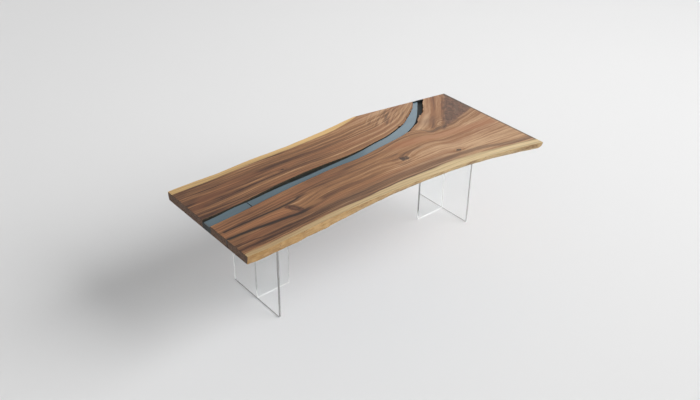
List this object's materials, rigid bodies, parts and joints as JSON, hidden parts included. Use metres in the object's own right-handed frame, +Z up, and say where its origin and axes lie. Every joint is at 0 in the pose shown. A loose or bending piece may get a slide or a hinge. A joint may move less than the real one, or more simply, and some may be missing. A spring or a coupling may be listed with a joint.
{
  "type": "live edge dining table",
  "caption": "Dining table: live edge wood slabs with a recessed glass river between them, on clear T-shaped panel legs.",
  "frame": {"origin": "on the floor, under the middle of the top's outer box", "axes": "+X along the table towards its wide end, +Y towards the back edge with the saw cut, +Z up"},
  "size_m": [2.44, 1.156, 0.75],
  "materials": {
    "slab_wood": "oiled, satin",
    "river_glass": "back-tinted, smooth",
    "bed_resin": "cast, dark teal",
    "crack_resin": "cast, black, sanded flush",
    "clear_acrylic": "clear, polished edges",
    "black_steel": "black powder coat",
    "fastener_steel": "zinc plated",
    "insert_brass": "turned",
    "clear_pad": "soft, clear"
  },
  "bodies": {
    "root": {"front_slab": "slab_wood", "back_slab": "slab_wood", "river_bed": "bed_resin", "river_glass_short": "river_glass", "river_glass_long": "river_glass", "crack_fill_long": "crack_resin", "crack_fill_short": "crack_resin", "stiffener_left": "black_steel", "stiffener_middle": "black_steel", "stiffener_right": "black_steel", "stiffener_screws": "fastener_steel", "stiffener_inserts": "insert_brass", "left_leg_cross_panel": "clear_acrylic", "left_leg_fin_panel": "clear_acrylic", "left_leg_mount_plate": "black_steel", "left_leg_panel_screws": "fastener_steel", "left_leg_plate_bolts": "fastener_steel", "left_leg_plate_inserts": "insert_brass", "left_leg_floor_pads": "clear_pad", "right_leg_cross_panel": "clear_acrylic", "right_leg_fin_panel": "clear_acrylic", "right_leg_mount_plate": "black_steel", "right_leg_panel_screws": "fastener_steel", "right_leg_plate_bolts": "fastener_steel", "right_leg_plate_inserts": "insert_brass", "right_leg_floor_pads": "clear_pad"}
  },
  "joints": []
}
